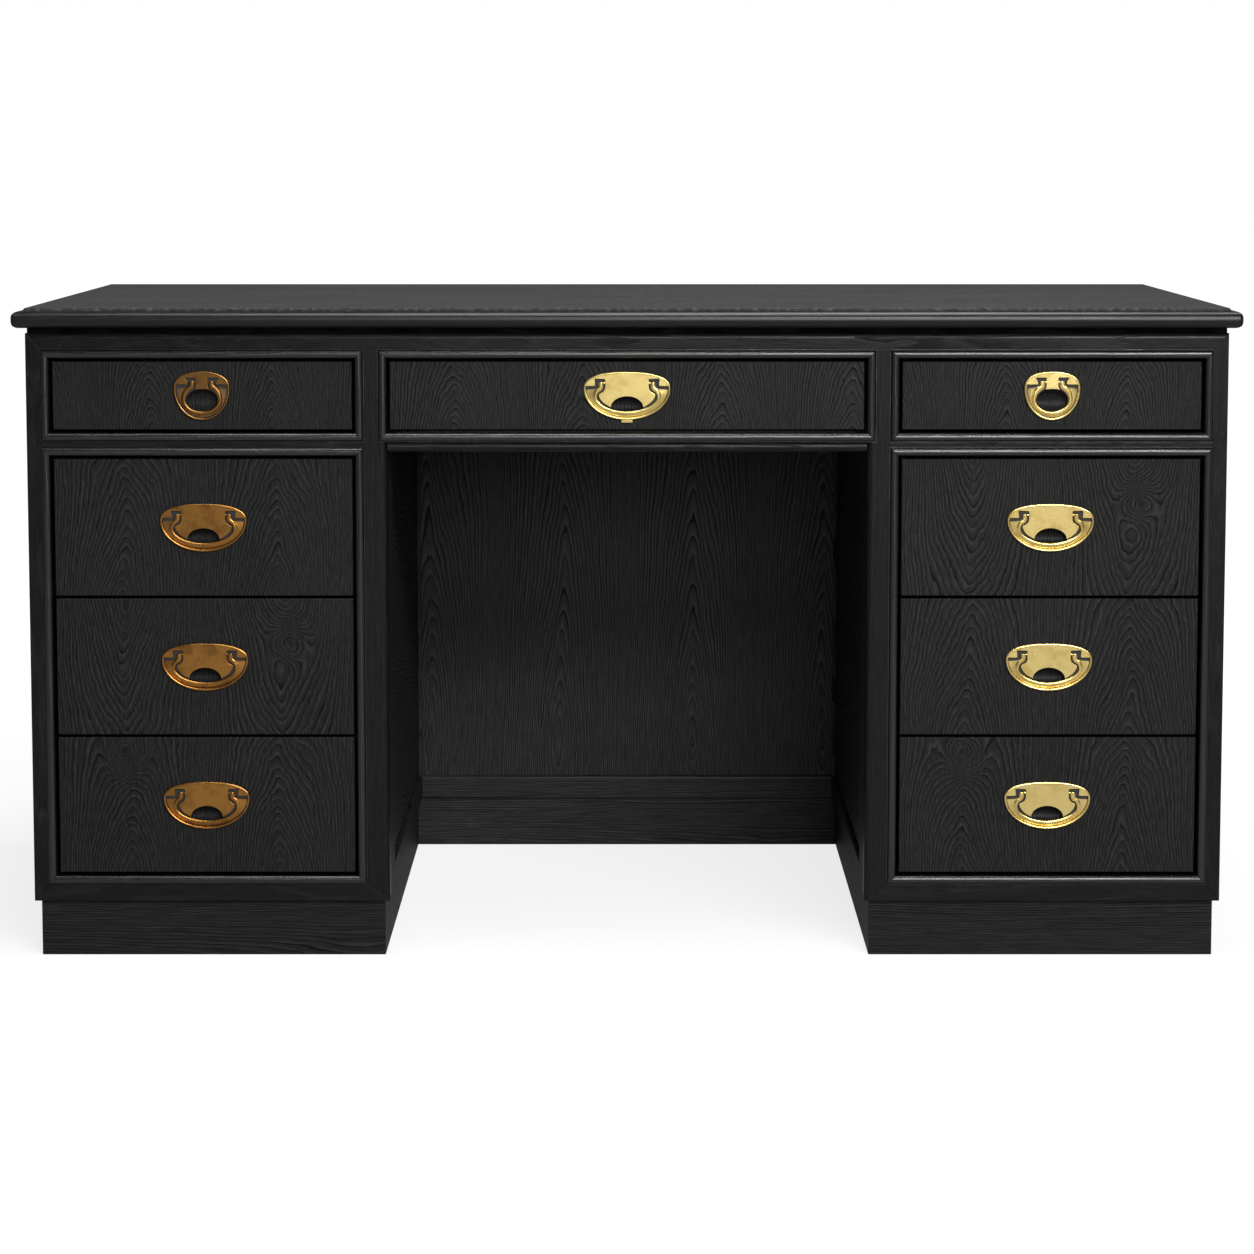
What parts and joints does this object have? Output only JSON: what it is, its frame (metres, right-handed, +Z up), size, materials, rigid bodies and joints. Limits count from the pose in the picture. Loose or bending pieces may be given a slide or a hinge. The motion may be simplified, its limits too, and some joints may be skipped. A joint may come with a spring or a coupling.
{
  "type": "kneehole desk",
  "caption": "Kneehole pedestal desk in ebonised oak with bead-framed drawers on wooden runners and brass drop-bail pulls in oval plates.",
  "frame": {"origin": "on the floor, under the middle of the top, at the bottom centre of the desk's box", "axes": "+X to the sitter's right along the desk's length, -Y out of the drawer fronts towards the sitter, +Z up"},
  "size_m": [1.42, 0.66, 0.762],
  "materials": {
    "ebonised_oak": "open-pore oak, stained black, satin lacquer",
    "drawer_lining": "plain hardwood, sealed",
    "bright_brass": "cast brass, polished high spots and dark recesses",
    "aged_brass": "cast brass, bronzed by age"
  },
  "bodies": {
    "carcass": {"top_panel": "ebonised_oak", "top_edge_lippings": "ebonised_oak", "top_spacer_frame": "ebonised_oak", "face_stiles": "ebonised_oak", "face_rails": "ebonised_oak", "left_bead_mouldings": "ebonised_oak", "center_bead_mouldings": "ebonised_oak", "right_bead_mouldings": "ebonised_oak", "left_outer_side": "ebonised_oak", "left_kneehole_side": "ebonised_oak", "right_kneehole_side": "ebonised_oak", "right_outer_side": "ebonised_oak", "left_plinth": "ebonised_oak", "right_plinth": "ebonised_oak", "rear_plinth": "ebonised_oak", "plinth_corner_blocks": "drawer_lining", "modesty_panel": "ebonised_oak", "modesty_rails": "ebonised_oak", "pedestal_back_panels": "ebonised_oak", "pedestal_floor_boards": "drawer_lining", "dust_boards": "drawer_lining", "left_drawer_runners": "drawer_lining", "right_drawer_runners": "drawer_lining", "center_drawer_runners": "drawer_lining"},
    "left_top_drawer": {"left_top_drawer_front": "ebonised_oak", "left_top_drawer_box": "drawer_lining", "left_top_pull_plate": "aged_brass"},
    "left_top_bail": {"left_top_pull_bail": "aged_brass"},
    "left_upper_drawer": {"left_upper_drawer_front": "ebonised_oak", "left_upper_drawer_box": "drawer_lining", "left_upper_pull_plate": "aged_brass"},
    "left_upper_bail": {"left_upper_pull_bail": "aged_brass"},
    "left_middle_drawer": {"left_middle_drawer_front": "ebonised_oak", "left_middle_drawer_box": "drawer_lining", "left_middle_pull_plate": "aged_brass"},
    "left_middle_bail": {"left_middle_pull_bail": "aged_brass"},
    "left_lower_drawer": {"left_lower_drawer_front": "ebonised_oak", "left_lower_drawer_box": "drawer_lining", "left_lower_pull_plate": "aged_brass"},
    "left_lower_bail": {"left_lower_pull_bail": "aged_brass"},
    "right_top_drawer": {"right_top_drawer_front": "ebonised_oak", "right_top_drawer_box": "drawer_lining", "right_top_pull_plate": "bright_brass"},
    "right_top_bail": {"right_top_pull_bail": "bright_brass"},
    "right_upper_drawer": {"right_upper_drawer_front": "ebonised_oak", "right_upper_drawer_box": "drawer_lining", "right_upper_pull_plate": "bright_brass"},
    "right_upper_bail": {"right_upper_pull_bail": "bright_brass"},
    "right_middle_drawer": {"right_middle_drawer_front": "ebonised_oak", "right_middle_drawer_box": "drawer_lining", "right_middle_pull_plate": "bright_brass"},
    "right_middle_bail": {"right_middle_pull_bail": "bright_brass"},
    "right_lower_drawer": {"right_lower_drawer_front": "ebonised_oak", "right_lower_drawer_box": "drawer_lining", "right_lower_pull_plate": "bright_brass"},
    "right_lower_bail": {"right_lower_pull_bail": "bright_brass"},
    "center_drawer": {"center_drawer_front": "ebonised_oak", "center_drawer_box": "drawer_lining", "center_pull_plate": "bright_brass"},
    "center_bail": {"center_pull_bail": "bright_brass"}
  },
  "joints": [
    {"name": "left_top_drawer_slide", "type": "slide", "parent": "carcass", "child": "left_top_drawer", "axis": [0, -1, 0], "range_m": [0, 0.4]},
    {"name": "left_top_bail_hinge", "type": "hinge", "parent": "left_top_drawer", "child": "left_top_bail", "pos_m": [-0.4915, -0.31625, 0.67666], "axis": [-1, 0, 0], "range_deg": [0, 90]},
    {"name": "left_upper_drawer_slide", "type": "slide", "parent": "carcass", "child": "left_upper_drawer", "axis": [0, -1, 0], "range_m": [0, 0.4]},
    {"name": "left_upper_bail_hinge", "type": "hinge", "parent": "left_upper_drawer", "child": "left_upper_bail", "pos_m": [-0.4915, -0.31625, 0.5219], "axis": [-1, 0, 0], "range_deg": [0, 90]},
    {"name": "left_middle_drawer_slide", "type": "slide", "parent": "carcass", "child": "left_middle_drawer", "axis": [0, -1, 0], "range_m": [0, 0.4]},
    {"name": "left_middle_bail_hinge", "type": "hinge", "parent": "left_middle_drawer", "child": "left_middle_bail", "pos_m": [-0.4915, -0.31625, 0.3584], "axis": [-1, 0, 0], "range_deg": [0, 90]},
    {"name": "left_lower_drawer_slide", "type": "slide", "parent": "carcass", "child": "left_lower_drawer", "axis": [0, -1, 0], "range_m": [0, 0.4]},
    {"name": "left_lower_bail_hinge", "type": "hinge", "parent": "left_lower_drawer", "child": "left_lower_bail", "pos_m": [-0.4915, -0.31625, 0.1949], "axis": [-1, 0, 0], "range_deg": [0, 90]},
    {"name": "right_top_drawer_slide", "type": "slide", "parent": "carcass", "child": "right_top_drawer", "axis": [0, -1, 0], "range_m": [0, 0.4]},
    {"name": "right_top_bail_hinge", "type": "hinge", "parent": "right_top_drawer", "child": "right_top_bail", "pos_m": [0.4915, -0.31625, 0.67666], "axis": [-1, 0, 0], "range_deg": [0, 90]},
    {"name": "right_upper_drawer_slide", "type": "slide", "parent": "carcass", "child": "right_upper_drawer", "axis": [0, -1, 0], "range_m": [0, 0.4]},
    {"name": "right_upper_bail_hinge", "type": "hinge", "parent": "right_upper_drawer", "child": "right_upper_bail", "pos_m": [0.4915, -0.31625, 0.5219], "axis": [-1, 0, 0], "range_deg": [0, 90]},
    {"name": "right_middle_drawer_slide", "type": "slide", "parent": "carcass", "child": "right_middle_drawer", "axis": [0, -1, 0], "range_m": [0, 0.4]},
    {"name": "right_middle_bail_hinge", "type": "hinge", "parent": "right_middle_drawer", "child": "right_middle_bail", "pos_m": [0.4915, -0.31625, 0.3584], "axis": [-1, 0, 0], "range_deg": [0, 90]},
    {"name": "right_lower_drawer_slide", "type": "slide", "parent": "carcass", "child": "right_lower_drawer", "axis": [0, -1, 0], "range_m": [0, 0.4]},
    {"name": "right_lower_bail_hinge", "type": "hinge", "parent": "right_lower_drawer", "child": "right_lower_bail", "pos_m": [0.4915, -0.31625, 0.1949], "axis": [-1, 0, 0], "range_deg": [0, 90]},
    {"name": "center_drawer_slide", "type": "slide", "parent": "carcass", "child": "center_drawer", "axis": [0, -1, 0], "range_m": [0, 0.4]},
    {"name": "center_bail_hinge", "type": "hinge", "parent": "center_drawer", "child": "center_bail", "pos_m": [0, -0.31625, 0.6754], "axis": [-1, 0, 0], "range_deg": [0, 90]}
  ]
}
